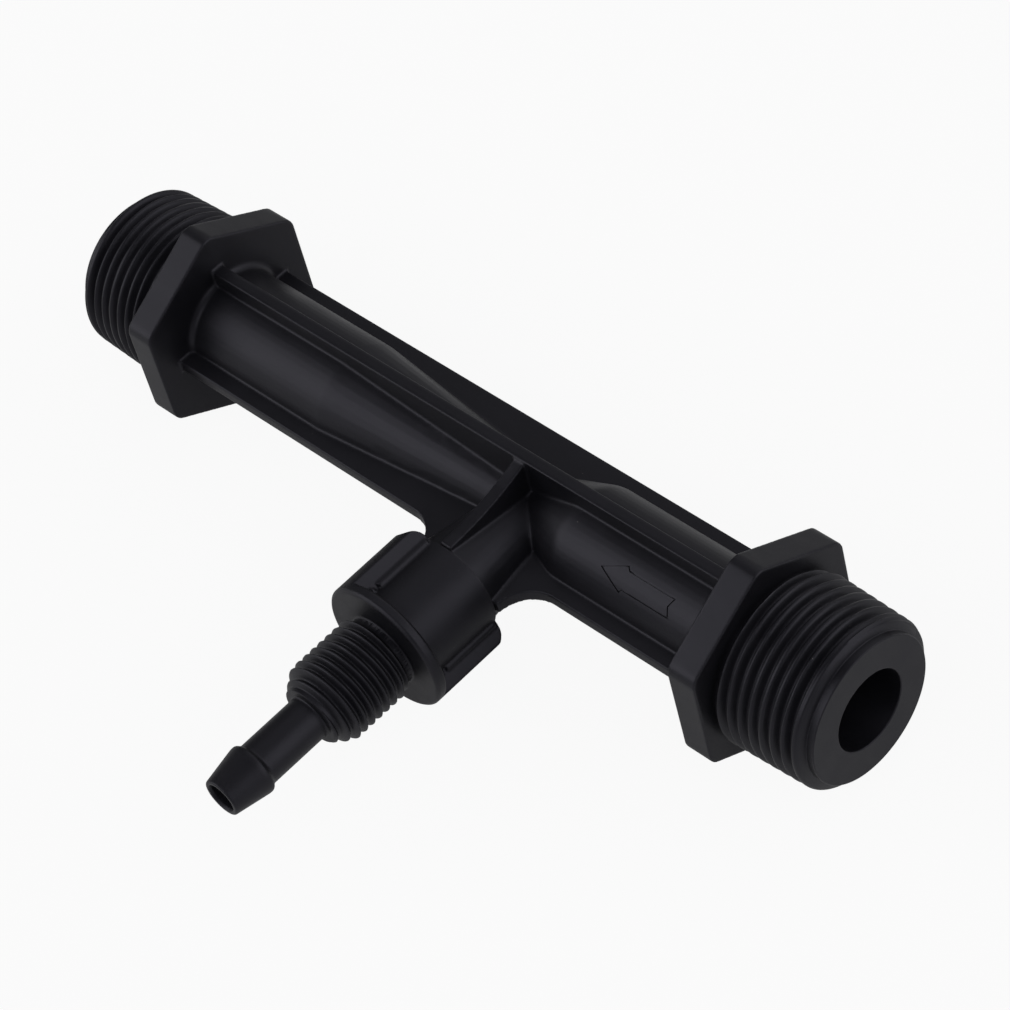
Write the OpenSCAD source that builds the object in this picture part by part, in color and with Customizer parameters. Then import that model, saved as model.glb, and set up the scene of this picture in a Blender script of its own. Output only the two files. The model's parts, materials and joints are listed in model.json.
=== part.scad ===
// Venturi fertilizer injector for a three-quarter-inch irrigation line.
// Water enters at the origin, in the centre of the inlet's end face, and flows along -X.
// The suction branch points to -Y. Sizes are in millimetres.

/* [Pipe ends] */
// Outside diameter of the male pipe threads
thread_d = 26.44; // [24:0.02:30]
// Length of a threaded end, from its face to the hexagon
thread_len = 16.3; // [12:0.1:24]
// Diameter of the plain neck between thread and hexagon
neck_d = 23.8; // [22:0.1:25]
// Length of the plain neck
neck_len = 0.5; // [0.2:0.1:3]
// Length of the cone between neck and thread
run_out_len = 0.7; // [0.3:0.1:2]
// Length of the thread's tapered outer part
taper_len = 6; // [3:0.1:8]
// Diameter of the thread where that taper ends
taper_d = 25.5; // [24.6:0.1:26.2]
// Length of the steep cone that leads the thread in
lead_len = 0.4; // [0.3:0.1:1.5]
// Diameter of the plain pilot at the end
pilot_d = 22.3; // [18:0.1:23.4]
// Length of that pilot
pilot_len = 1.2; // [0.5:0.1:2]
// Bore of the inlet and of the outlet
port_d = 12.3; // [11.8:0.1:15]
// Length of that straight bore, before the draft of the moulding core starts
port_len = 16; // [8:0.5:22]

/* [Hexagonal flanges] */
// Size across the flats
hex_af = 29.7; // [28:0.1:36]
// Thickness of a flange
hex_t = 4.8; // [3:0.1:7]
// Radius of the rounded corners
hex_corner_r = 2.3; // [0.5:0.1:4]

/* [Venturi tube] */
// Outside diameter of the tube next to the flanges
tube_d = 17; // [16:0.1:20]
// Outside diameter of the tube at the throat
waist_d = 9.8; // [9:0.1:12]
// Length of the straight tube on the inlet side
inlet_tube_len = 29; // [18:0.1:40]
// Length from the end of that tube to the branch axis, where the tube narrows
inlet_cone_len = 10.8; // [9:0.1:16]
// Length from the branch axis to the straight tube on the outlet side, where the tube widens
outlet_cone_len = 36; // [24:0.1:50]
// Length of the straight tube on the outlet side
outlet_tube_len = 27.4; // [16:0.1:40]
// Radius that rounds the shoulder of the inlet cone
shoulder_r = 6.5; // [2:0.5:9]
// Bore at the inner end of the drafted core, where the cones start
core_d = 11.6; // [10:0.1:12.2]
// Bore of the throat
throat_d = 4.4; // [3:0.1:4.9]
// Bore just after the throat, where the diffuser starts
mixing_d = 5; // [4.5:0.1:5.8]
// Half length of the straight throat
throat_half_len = 1.2; // [0.5:0.1:2]

/* [Ribs] */
// Distance from the main axis to a rib's outer edge
rib_reach = 11.1; // [10:0.1:13]
// Thickness of the ribs, gussets and webs
rib_t = 2; // [1.2:0.1:3]

/* [Suction branch] */
// Distance from the main axis to the branch's shoulder
branch_len = 16.5; // [14:0.1:20]
// Diameter of the branch at the main axis
branch_root_d = 9.5; // [9:0.1:12]
// Diameter of the branch at its shoulder
branch_end_d = 14.4; // [13.2:0.1:16]
// Height of the gussets at the shoulder, from the branch axis
gusset_end = 7.9; // [7.4:0.1:9.5]
// Half width of the webs at the shoulder
web_end = 8.2; // [7.4:0.1:9.5]
// Diameter of the threaded spigot inside the cap
spigot_d = 11.4; // [10.6:0.1:12.4]
// Length of the spigot past the shoulder
spigot_len = 9.8; // [8:0.1:10.8]
// Bore of the check valve's chamber
chamber_d = 7.4; // [7:0.1:8.2]
// Distance from the main axis to the chamber's floor
chamber_floor = 8.4; // [7:0.1:10]
// Diameter of the suction hole between chamber and throat
suction_hole_d = 2.5; // [1.5:0.1:3.5]

/* [Suction cap] */
// Angle of the wings to the horizontal, where the tightened cap stopped
cap_angle = 47; // [0:1:180]
// Gap between the branch's shoulder and the cap
cap_gap = 0.15; // [0.1:0.05:1]
// Diameter of the collar
collar_d = 15.1; // [14.6:0.1:17]
// Length from the cap's rear edge to its round flange
collar_len = 12.35; // [11.6:0.05:16]
// Diameter over the wings and the round flange
wing_span = 20.6; // [19:0.1:25]
// Thickness of the wings
wing_t = 5.2; // [3:0.1:6]
// Radius of the wings' rear corners
wing_corner_r = 2.7; // [1:0.1:2.7]
// Thickness of the round flange
flange_t = 1.9; // [1.2:0.1:3]
// Chamfer on the rim of the round flange
flange_chamfer = 0.4; // [0.1:0.1:0.6]
// Radius of the beads at the wing roots
bead_r = 0.5; // [0.3:0.05:0.8]
// Room between a bead's front end and the round flange
bead_gap = 2.3; // [1.9:0.1:3]
// Radial clearance of the cap's thread on the spigot
spigot_clearance = 0.3; // [0.2:0.05:0.5]

/* [Suction thread] */
// Outside diameter of the suction thread
suction_thread_d = 13.16; // [12.4:0.02:14]
// Length of the plain neck behind the suction thread
suction_neck_len = 1.3; // [0.6:0.1:2]
// Diameter of that neck
suction_neck_d = 11.2; // [10:0.1:11.8]
// Length of the suction thread without its tapered end
suction_thread_len = 10.2; // [8:0.1:14]
// Length of the thread's tapered end
suction_taper_len = 2.7; // [1:0.1:4]
// Diameter of the tapered end's face
suction_taper_d = 9.3; // [8:0.1:11]

/* [Hose nipple] */
// Diameter of the nipple's stem
stem_d = 6.7; // [5.8:0.1:7.4]
// Length of the stem
stem_len = 10.7; // [5:0.1:14]
// Largest diameter of the barb
barb_d = 7.9; // [7.6:0.1:9.4]
// Length of the barb's cylindrical land
barb_land = 0.6; // [0.3:0.1:1.5]
// Length of the barb's taper
barb_len = 5.6; // [4:0.1:8]
// Diameter of the nipple's tip
tip_d = 5.9; // [5.4:0.1:6.6]
// Chamfer on the tip
tip_chamfer = 0.3; // [0.1:0.1:0.4]
// Bore of the nipple
nipple_bore_d = 4.3; // [3:0.1:4.4]

/* [Check valve] */
// Diameter of the ball
ball_d = 6.35; // [6:0.05:6.5]
// Gap between the seated ball and its cone
seat_gap = 0.05; // [0.02:0.01:0.1]
// Diameter of the spring's wire
wire_d = 0.5; // [0.3:0.05:0.7]
// Mean diameter of the spring
spring_d = 4.9; // [4:0.1:5.4]
// Number of the spring's turns
spring_turns = 7; // [5:1:10]
// Thickness of the sealing ring
seal_t = 1.5; // [1:0.1:2]
// Gap at each side of the sealing ring
seal_gap = 0.05; // [0.02:0.01:0.1]

/* [Hidden] */
$fn = 96;
// Overlap that lets a cutter pass clear through a face
over = 1;
// Places along the main axis, from the inlet's face at zero
inlet_hex_x = -thread_len - hex_t;
inlet_cone_x = inlet_hex_x - inlet_tube_len;
branch_x = inlet_cone_x - inlet_cone_len;
outlet_cone_x = branch_x - outlet_cone_len;
outlet_hex_x = outlet_cone_x - outlet_tube_len;
outlet_x = outlet_hex_x - hex_t - thread_len;
// Radii of the venturi tube
tube_r = tube_d / 2;
waist_r = waist_d / 2;
port_r = port_d / 2;
// Places along the branch, from the main axis
cap_rear = branch_len + cap_gap;
spigot_end = branch_len + spigot_len;
seal_seat = spigot_end + seal_t + 2 * seal_gap;
flange_rear = cap_rear + collar_len;
flange_front = flange_rear + flange_t;
neck_front = flange_front + suction_neck_len;
taper_start = neck_front + suction_thread_len;
nipple_root = taper_start + suction_taper_len;
barb_rear = nipple_root + stem_len;
tip_end = barb_rear + barb_land + barb_len;
// The ball rests on a cone of 45 degrees that starts at the cap's inner floor
ball_r = ball_d / 2;
chamber_r = chamber_d / 2;
nipple_bore_r = nipple_bore_d / 2;
cone_apex = seal_seat + chamber_r;
ball_center = cone_apex - (ball_r + seat_gap) * sqrt(2);
// The spring reaches from the chamber's floor to the ball
wire_r = wire_d / 2;
spring_r = spring_d / 2;
spring_start = chamber_floor + wire_r;
spring_end = ball_center - sqrt(pow(ball_r + wire_r + seat_gap, 2) - pow(spring_r, 2));
WIRE_SIDES = 8;
STEPS_PER_TURN = 20;

// Turns a shape revolved about Z so that its axis lies along +X
module along_main() {
    rotate([0, 90, 0]) children();
}

// Places a shape on the branch: its Z points out along the branch and its Y up
module on_branch() {
    translate([branch_x, 0, 0]) rotate([90, 0, 0]) children();
}

// Hexagon with true arcs at its corners, one corner pointing along +X of the outline
module hexagon_outline() {
    corner = (hex_af / 2 - hex_corner_r) / cos(30);
    for (k = [0:5])
        rotate(60 * k) translate([corner, 0]) circle(hex_corner_r);
    for (k = [0:2])
        rotate(60 * k + 30) square([hex_af, corner], center = true);
}

// One male end: plain neck, thread with its taper, lead-in cone and pilot, from the hexagon along +Z
module pipe_end() {
    neck_r = neck_d / 2;
    thread_r = thread_d / 2;
    lead_start = thread_len - pilot_len - lead_len;
    rotate_extrude() polygon([
        [0, -hex_t / 2],
        [neck_r, -hex_t / 2],
        [neck_r, neck_len],
        [thread_r, neck_len + run_out_len],
        [thread_r, lead_start - taper_len],
        [taper_d / 2, lead_start],
        [pilot_d / 2, lead_start + lead_len],
        [pilot_d / 2, thread_len],
        [0, thread_len]
    ]);
}

// Both ends with their flanges, placed on the main axis
module flanged_ends() {
    along_main() {
        translate([0, 0, -thread_len]) pipe_end();
        translate([0, 0, inlet_hex_x]) linear_extrude(hex_t) hexagon_outline();
        translate([0, 0, outlet_hex_x - hex_t]) {
            linear_extrude(hex_t) hexagon_outline();
            mirror([0, 0, 1]) pipe_end();
        }
    }
}

// Tube that narrows quickly to the waist and widens slowly after it
module venturi_tube() {
    slope = atan2(tube_r - waist_r, inlet_cone_len);
    trim = shoulder_r * tan(slope / 2);
    arc_center = [tube_r - shoulder_r, inlet_cone_x + trim];
    along_main() rotate_extrude() polygon(concat(
        [[0, outlet_hex_x - hex_t / 2], [tube_r, outlet_hex_x - hex_t / 2], [tube_r, outlet_cone_x],
         [waist_r, branch_x]],
        [for (k = [0:6])
            let (a = -slope * (1 - k / 6))
            arc_center + shoulder_r * [cos(a), sin(a)]],
        [[tube_r, inlet_hex_x + hex_t / 2], [0, inlet_hex_x + hex_t / 2]]
    ));
}

// Four ribs that run from flange to flange
module long_ribs() {
    span = inlet_hex_x - outlet_hex_x + hex_t;
    middle = (inlet_hex_x + outlet_hex_x) / 2;
    translate([middle, 0, 0]) {
        cube([span, rib_t, 2 * rib_reach], center = true);
        cube([span, 2 * rib_reach, rib_t], center = true);
    }
}

// Webs that blend the front rib into both sides of the branch
module branch_webs() {
    fillet_r = branch_len - rib_reach;
    half_w = web_end + fillet_r;
    translate([branch_x, 0, 0]) linear_extrude(rib_t, center = true) difference() {
        translate([-half_w, -branch_len]) square([2 * half_w, branch_len]);
        for (side = [-1, 1])
            translate([side * half_w, -branch_len]) circle(fillet_r);
    }
}

// Gussets that sweep down from the top and bottom ribs to the branch's shoulder
module branch_gussets() {
    drop = rib_reach - gusset_end;
    sweep_r = (branch_len * branch_len + drop * drop) / (2 * drop);
    on_branch() rotate([0, -90, 0]) linear_extrude(rib_t, center = true)
        for (side = [0, 1])
            mirror([0, side]) difference() {
                square([branch_len, rib_reach]);
                translate([branch_len, gusset_end + sweep_r]) circle(sweep_r, $fn = 360);
            }
}

// Branch with the spigot that the cap screws on to
module branch_tube() {
    lead = spigot_clearance * 2;
    on_branch() rotate_extrude() polygon([
        [0, 0],
        [branch_root_d / 2, 0],
        [branch_end_d / 2, branch_len],
        [spigot_d / 2, branch_len],
        [spigot_d / 2, spigot_end - lead],
        [spigot_d / 2 - lead, spigot_end],
        [0, spigot_end]
    ]);
}

// The water's way: inlet bore, drafted core, cone, throat, diffuser and the same to the outlet
module flow_passage() {
    throat_r = throat_d / 2;
    core_r = core_d / 2;
    cone_start = inlet_cone_x + tube_r - core_r - (waist_r - throat_r) / 2;
    along_main() rotate_extrude() polygon([
        [0, outlet_x - over],
        [port_r, outlet_x - over],
        [port_r, outlet_x + port_len],
        [core_r, outlet_cone_x],
        [mixing_d / 2, branch_x - throat_half_len],
        [throat_r, branch_x - throat_half_len],
        [throat_r, branch_x + throat_half_len],
        [core_r, cone_start],
        [port_r, -port_len],
        [port_r, over],
        [0, over]
    ]);
}

// The way of the fertilizer: check valve chamber and suction hole
module suction_passage() {
    on_branch() {
        cylinder(d = suction_hole_d, h = spigot_end);
        translate([0, 0, chamber_floor]) cylinder(d = chamber_d, h = spigot_end);
    }
}

module injector_body() {
    color("#26262b") difference() {
        union() {
            flanged_ends();
            venturi_tube();
            long_ribs();
            branch_webs();
            branch_gussets();
            branch_tube();
        }
        flow_passage();
        suction_passage();
    }
}

// Turned outside of the cap: collar, round flange, thread, stem and barb
module cap_profile() {
    collar_r = collar_d / 2;
    flange_r = wing_span / 2;
    thread_r = suction_thread_d / 2;
    neck_r = suction_neck_d / 2;
    step = thread_r - neck_r;
    barb_rise = (barb_d - stem_d) / 2;
    polygon([
        [0, cap_rear],
        [collar_r, cap_rear],
        [collar_r, flange_rear],
        [flange_r - flange_chamfer, flange_rear],
        [flange_r, flange_rear + flange_chamfer],
        [flange_r, flange_front - flange_chamfer],
        [flange_r - flange_chamfer, flange_front],
        [neck_r, flange_front],
        [neck_r, neck_front],
        [thread_r, neck_front + step / 2],
        [thread_r, taper_start],
        [suction_taper_d / 2, nipple_root],
        [stem_d / 2, nipple_root],
        [stem_d / 2, barb_rear - barb_rise],
        [barb_d / 2, barb_rear],
        [barb_d / 2, barb_rear + barb_land],
        [tip_d / 2, tip_end - tip_chamfer],
        [tip_d / 2 - tip_chamfer, tip_end],
        [0, tip_end]
    ]);
}

// Outline of both wings, seen square to their faces
module wing_outline() {
    half = wing_span / 2;
    inner = half - wing_corner_r;
    for (side = [-1, 1])
        translate([side * inner, cap_rear + wing_corner_r]) circle(wing_corner_r);
    translate([-half, cap_rear + wing_corner_r]) square([2 * half, flange_front - cap_rear - wing_corner_r]);
    translate([-inner, cap_rear]) square([2 * inner, flange_front - cap_rear]);
}

// Two wings whose outer faces follow the round flange, flush with its chamfers
module wings() {
    trim = flange_chamfer;
    intersection() {
        rotate([90, 0, 0]) linear_extrude(wing_t, center = true) wing_outline();
        translate([0, 0, cap_rear]) cylinder(d = wing_span, h = flange_front - cap_rear - trim);
    }
}

// Round beads along the wing roots, each with a pip in front of it
module wing_beads() {
    collar_r = collar_d / 2;
    root = sqrt(collar_r * collar_r - wing_t * wing_t / 4) + bead_r / 2;
    bead_front = flange_rear - bead_gap;
    for (x = [-1, 1], y = [-1, 1])
        translate([x * root, y * wing_t / 2, 0]) {
            translate([0, 0, cap_rear + bead_r]) cylinder(r = bead_r, h = bead_front - cap_rear - bead_r, $fn = 24);
            translate([0, 0, bead_front + bead_gap / 2]) sphere(bead_r, $fn = 24);
        }
}

// Inside of the cap: thread cavity, seal seat, ball cone and bore
module cap_cavity() {
    cavity_r = spigot_d / 2 + spigot_clearance;
    rotate_extrude() polygon([
        [0, cap_rear - over],
        [cavity_r, cap_rear - over],
        [cavity_r, seal_seat],
        [chamber_r, seal_seat],
        [nipple_bore_r, cone_apex - nipple_bore_r],
        [nipple_bore_r, tip_end + over],
        [0, tip_end + over]
    ]);
}

module suction_cap() {
    color("#232328") on_branch() rotate([0, 0, -cap_angle]) difference() {
        union() {
            rotate_extrude() cap_profile();
            wings();
            wing_beads();
        }
        cap_cavity();
    }
}

module cap_seal() {
    mean_r = (spigot_d / 2 + chamber_r) / 2;
    color("#151517") on_branch() translate([0, 0, spigot_end + seal_gap + seal_t / 2])
        rotate_extrude() translate([mean_r, 0]) circle(d = seal_t, $fn = 32);
}

module check_ball() {
    color("#e8e4da") on_branch() translate([0, 0, ball_center]) sphere(ball_r);
}

// Ring of wire points at one step of the coil
function wire_ring(step, count) =
    let (turn = 360 * step / STEPS_PER_TURN)
    let (height = spring_start + (spring_end - spring_start) * step / count)
    [for (k = [0:WIRE_SIDES - 1])
        let (a = 360 * k / WIRE_SIDES)
        let (r = spring_r + wire_r * cos(a))
        [r * cos(turn), r * sin(turn), height + wire_r * sin(a)]];

module check_spring() {
    count = spring_turns * STEPS_PER_TURN;
    points = [for (step = [0:count]) each wire_ring(step, count)];
    last = count * WIRE_SIDES;
    sides = [for (step = [0:count - 1], k = [0:WIRE_SIDES - 1])
        let (a = step * WIRE_SIDES)
        let (b = a + WIRE_SIDES)
        let (next = (k + 1) % WIRE_SIDES)
        [a + k, a + next, b + next, b + k]];
    start_cap = [for (k = [WIRE_SIDES - 1:-1:0]) k];
    end_cap = [for (k = [0:WIRE_SIDES - 1]) last + k];
    color("#b9bcc0") on_branch() polyhedron(points, concat([start_cap, end_cap], sides));
}

injector_body();
suction_cap();
cap_seal();
check_ball();
check_spring();
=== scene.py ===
"""Venturi fertilizer injector: ribbed black moulding, winged suction cap and the check valve inside it."""

import json
import logging
import math
from dataclasses import dataclass
from enum import Enum
from typing import Any, Optional, Sequence, Union

import bmesh
import bpy
import numpy as np
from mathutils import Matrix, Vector
from mathutils.bvhtree import BVHTree

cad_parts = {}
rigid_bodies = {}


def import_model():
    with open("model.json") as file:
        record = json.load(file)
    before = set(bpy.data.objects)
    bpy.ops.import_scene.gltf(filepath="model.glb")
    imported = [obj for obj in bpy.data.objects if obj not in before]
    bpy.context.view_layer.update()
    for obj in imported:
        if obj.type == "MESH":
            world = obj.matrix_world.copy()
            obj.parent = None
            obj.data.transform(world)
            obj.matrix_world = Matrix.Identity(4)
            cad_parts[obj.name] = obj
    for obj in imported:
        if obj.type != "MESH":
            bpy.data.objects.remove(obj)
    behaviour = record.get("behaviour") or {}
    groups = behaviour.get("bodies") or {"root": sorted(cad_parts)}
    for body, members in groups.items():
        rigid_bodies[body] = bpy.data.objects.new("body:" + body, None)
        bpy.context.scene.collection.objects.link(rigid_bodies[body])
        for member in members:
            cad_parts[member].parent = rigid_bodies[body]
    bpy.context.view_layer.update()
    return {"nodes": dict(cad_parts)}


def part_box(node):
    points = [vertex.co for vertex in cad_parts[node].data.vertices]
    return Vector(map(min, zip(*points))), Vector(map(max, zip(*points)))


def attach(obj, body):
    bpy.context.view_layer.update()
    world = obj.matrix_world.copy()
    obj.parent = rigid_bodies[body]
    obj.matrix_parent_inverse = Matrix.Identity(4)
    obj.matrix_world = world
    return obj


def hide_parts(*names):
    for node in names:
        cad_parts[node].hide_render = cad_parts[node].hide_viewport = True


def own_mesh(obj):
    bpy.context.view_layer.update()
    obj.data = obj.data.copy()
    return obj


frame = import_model()

LOG = logging.getLogger("venturi_injector")
MM = 0.001
TURN = 2 * math.pi

Point = tuple[float, float, float]
Colour = tuple[float, float, float, float]
Span = tuple[float, float]


class Cut(Enum):
    """The ways in which two closed meshes are combined."""

    TAKE_AWAY = "DIFFERENCE"
    JOIN = "UNION"


class FlowAxis(Enum):
    """The direction in which a moulding was filled, as a stretch of its flow marks."""

    ALONG_TUBE = (0.12, 1.0, 1.0)
    ALONG_BRANCH = (1.0, 0.12, 1.0)


@dataclass(frozen=True)
class Axis:
    """A line about which turned shapes are built, with two directions square to it."""

    origin: Point
    along: Point
    across: Point
    up: Point

    def place(self, stations: np.ndarray, radii: np.ndarray, angles: np.ndarray) -> np.ndarray:
        """Finds points from their place along the axis, their radius and their angle.

        Args:
            stations: Distances along the axis, in millimetres.
            radii: Distances from the axis.
            angles: Right-handed angles about the axis, in radians.

        Returns:
            The points, one row each.
        """
        side = np.cos(angles)[..., None] * np.array(self.across) + np.sin(angles)[..., None] * np.array(self.up)
        return np.array(self.origin) + stations[..., None] * np.array(self.along) + radii[..., None] * side


BRANCH_X = -60.9
MAIN_AXIS = Axis((0, 0, 0), (1, 0, 0), (0, 1, 0), (0, 0, 1))
BRANCH_AXIS = Axis((BRANCH_X, 0, 0), (0, -1, 0), (1, 0, 0), (0, 0, 1))


@dataclass(frozen=True)
class Thread:
    """A right-hand helical thread, cut below the line that its crests follow.

    The crest and root shares are of half a pitch, and a flank is part straight and part curved. The groove fades out
    at the land and stays above a share of the first crest's radius.
    """

    pitch: float
    depth: float
    crest_at: float
    crest_line: tuple[tuple[float, float], ...]
    land: float
    crest_share: float = 0.06
    root_share: float = 0.86
    straight_share: float = 0.8
    curved_share: float = 0.2
    fade_share: float = 0.5
    floor_share: float = 0.7

    def limit(self, stations: np.ndarray, angles: np.ndarray) -> np.ndarray:
        """Gives the radius of the thread's surface.

        Args:
            stations: Distances along the axis.
            angles: Angles about it, in radians.

        Returns:
            The largest radius that the thread leaves at each point.
        """
        places, radii = zip(*self.crest_line)
        crest = np.interp(stations, places, radii)
        turns = (stations - self.crest_at) / self.pitch - angles / TURN
        away = 2 * np.abs(turns - np.round(turns))
        flank = np.clip((away - self.crest_share) / (self.root_share - self.crest_share), 0, 1)
        groove = self.straight_share * flank + self.curved_share * flank * flank * (3 - 2 * flank)
        run_out = np.clip(np.abs(stations - self.land) / (self.fade_share * self.pitch), 0, 1)
        return np.maximum(crest - self.depth * groove * run_out, self.floor_share * radii[0])


@dataclass(frozen=True)
class Corner:
    """A corner of a turned outline: its place, radius and rounding, and whether the side after it is threaded."""

    station: float
    radius: float
    rounding: float = 0.0
    threaded: bool = False


def rounded_outline(corners: Sequence[Corner], step: float) -> np.ndarray:
    """Rounds the corners of a closed outline and divides its threaded sides.

    Args:
        corners: The outline in order.
        step: Longest piece of a threaded side.

    Returns:
        Points of the outline, as rows of station and radius.
    """
    hold, arc_steps, side_share = 0.06, 5, 0.45
    shortest = 6 * hold
    spots = [np.array((c.station, c.radius)) for c in corners]
    path: list[tuple[np.ndarray, bool]] = []
    for k, corner in enumerate(corners):
        here, before, after = spots[k], spots[k - 1], spots[(k + 1) % len(spots)]
        back, ahead = before - here, after - here
        reach = min(corner.rounding, side_share * np.linalg.norm(back), side_share * np.linalg.norm(ahead))
        if reach <= 0:
            path.append((here, corner.threaded))
            continue
        start = here + back / np.linalg.norm(back) * reach
        end = here + ahead / np.linalg.norm(ahead) * reach
        for j in range(arc_steps + 1):
            t = j / arc_steps
            path.append(((1 - t) ** 2 * start + 2 * t * (1 - t) * here + t * t * end, corner.threaded))
    outline: list[np.ndarray] = []
    for k, (here, threaded) in enumerate(path):
        after = path[(k + 1) % len(path)][0]
        length = float(np.linalg.norm(after - here))
        shares = [0.0]
        if length > shortest:
            count = max(1, math.ceil((length - 2 * hold) / step)) if threaded else 1
            shares += [(hold + (length - 2 * hold) * j / count) / length for j in range(count + 1)]
        outline += [here + share * (after - here) for share in shares]
    return np.array(outline)


class Skin:
    """A finely meshed surface that lends its normals to the meshes cut or thinned from it."""

    reach = 0.03
    tiny_area = 1e-12
    tiny_length = 1e-9

    def __init__(self, mesh: bpy.types.Mesh) -> None:
        """Keeps the mesh's triangles and the normals of its points."""
        mesh.calc_loop_triangles()
        corners = np.zeros(len(mesh.loop_triangles) * 3, np.int32)
        mesh.loop_triangles.foreach_get("vertices", corners)
        self.corners = corners.reshape(-1, 3)
        self.points = read_rows(mesh.vertices, "co")
        self.normals = read_rows(mesh.vertex_normals, "vector")
        self.tree = BVHTree.FromPolygons(self.points.tolist(), self.corners.tolist(), all_triangles=True)

    def lend(self, points: np.ndarray) -> tuple[np.ndarray, np.ndarray]:
        """Finds the normals next to some points.

        Args:
            points: Where normals are wanted, one row each.

        Returns:
            The normals, and each point's distance from the surface, which is infinite where that is out of reach.
        """
        found = [self.tree.find_nearest(point, self.reach) for point in points.tolist()]
        hit = np.array([row[2] is not None for row in found])
        away = np.array([row[3] if row[3] is not None else np.inf for row in found])
        normals = np.zeros_like(points)
        faces = self.corners[[row[2] for row in found if row[2] is not None]]
        spots = np.array([tuple(row[0]) for row in found if row[2] is not None]).reshape(-1, 3)
        a, b, c = (self.points[faces[:, k]] for k in range(3))
        whole = np.maximum(np.linalg.norm(np.cross(b - a, c - a), axis=1), self.tiny_area)
        shares = [np.linalg.norm(np.cross(q - spots, r - spots), axis=1) / whole for q, r in ((b, c), (c, a), (a, b))]
        mixed = sum(share[:, None] * self.normals[faces[:, k]] for k, share in enumerate(shares))
        normals[hit] = mixed / np.maximum(np.linalg.norm(mixed, axis=1), self.tiny_length)[:, None]
        return normals, away


def read_rows(items: Any, key: str) -> np.ndarray:
    """Reads a three-part value of many mesh items as rows."""
    values = np.zeros(len(items) * 3)
    items.foreach_get(key, values)
    return values.reshape(-1, 3)


def ring_faces(rings: int, columns: int, closed: bool = True) -> list[tuple[int, ...]]:
    """Joins rings of points, which are numbered ring by ring, with four-sided faces.

    Args:
        rings: Number of rings.
        columns: Number of points in each ring.
        closed: Whether the last ring is joined to the first.

    Returns:
        The point numbers of each face.
    """
    faces: list[tuple[int, ...]] = []
    for ring in range(rings if closed else rings - 1):
        below, above = ring * columns, (ring + 1) % rings * columns
        for column in range(columns):
            beside = (column + 1) % columns
            faces.append((below + column, above + column, above + beside, below + beside))
    return faces


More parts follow.
